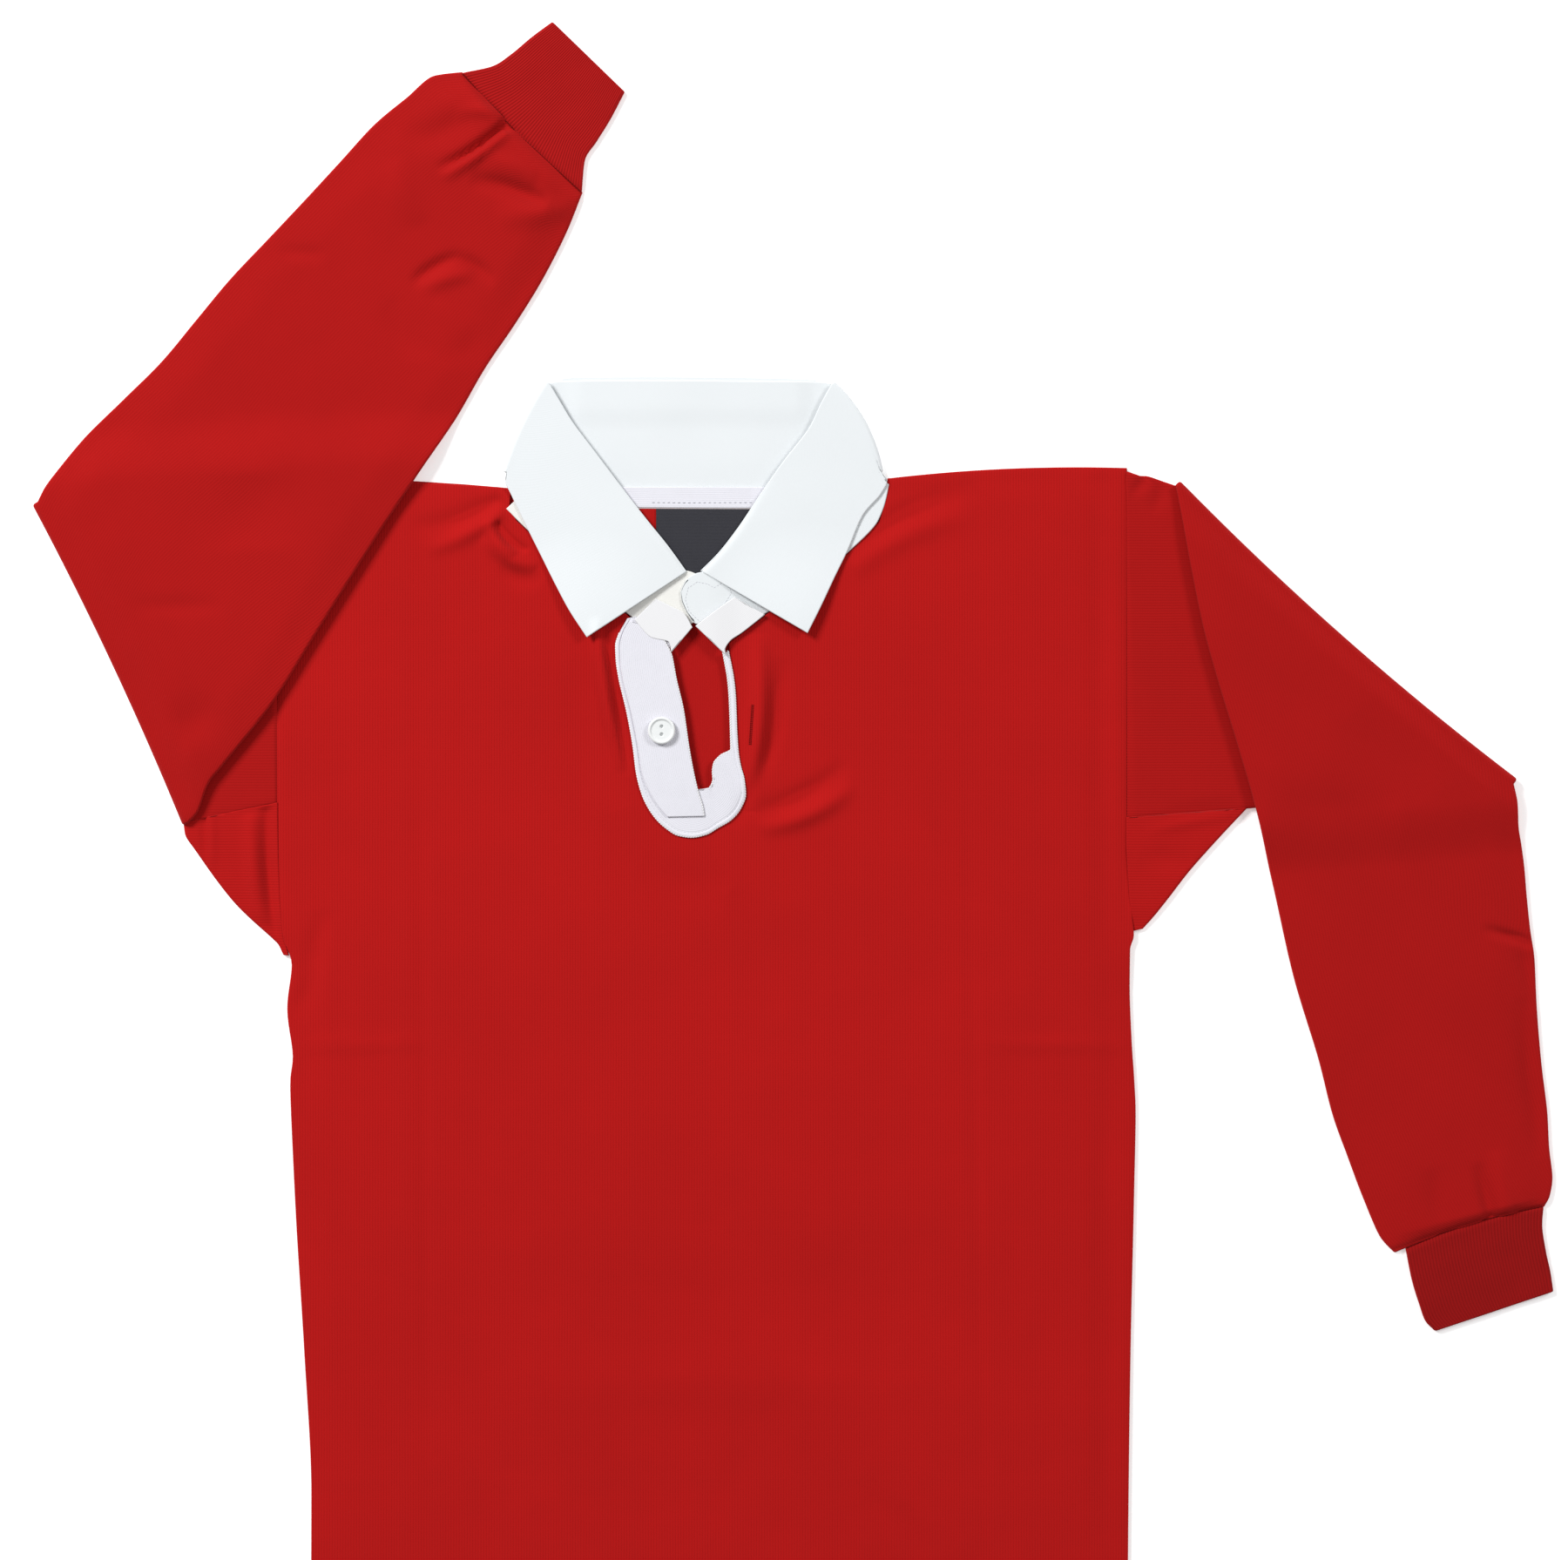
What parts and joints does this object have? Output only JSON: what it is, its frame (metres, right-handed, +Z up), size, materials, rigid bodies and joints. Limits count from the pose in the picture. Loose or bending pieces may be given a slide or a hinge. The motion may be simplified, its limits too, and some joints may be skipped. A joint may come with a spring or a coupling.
{
  "type": "rugby shirt",
  "caption": "Long-sleeved rugby shirt laid flat, front up, sleeves folded over, with a turned-down collar, a short buttoned placket and ribbed cuffs",
  "frame": {"origin": "on the back's underside, on the body's centre line, level with the underarms", "axes": "+Z up from the surface the shirt lies on; +Y along the body from hem to collar; +X from the wearer's right to the wearer's left"},
  "size_m": [1.0121, 1.0735, 0.0099],
  "materials": {
    "red_knit": "matte heavy cotton knit",
    "red_rib": "matte ribbed knit",
    "white_drill": "matte cotton drill",
    "white_twill": "matte twill tape",
    "charcoal_weave": "fine satin weave",
    "white_button": "moulded, softly glossy"
  },
  "bodies": {
    "root": {"body_back": "red_knit", "body_front": "red_knit", "sleeve_right": "red_knit", "sleeve_left": "red_knit", "gusset_right": "red_knit", "gusset_left": "red_knit", "cuff_right": "red_rib", "cuff_left": "red_rib", "collar": "white_drill", "collar_stand_right": "white_drill", "collar_stand_left": "white_drill", "neck_tape": "white_twill", "placket_facing": "white_twill", "placket_band": "white_twill", "placket_tab_right": "white_twill", "placket_tab_left": "white_twill", "neck_label": "charcoal_weave", "button": "white_button"}
  },
  "joints": []
}
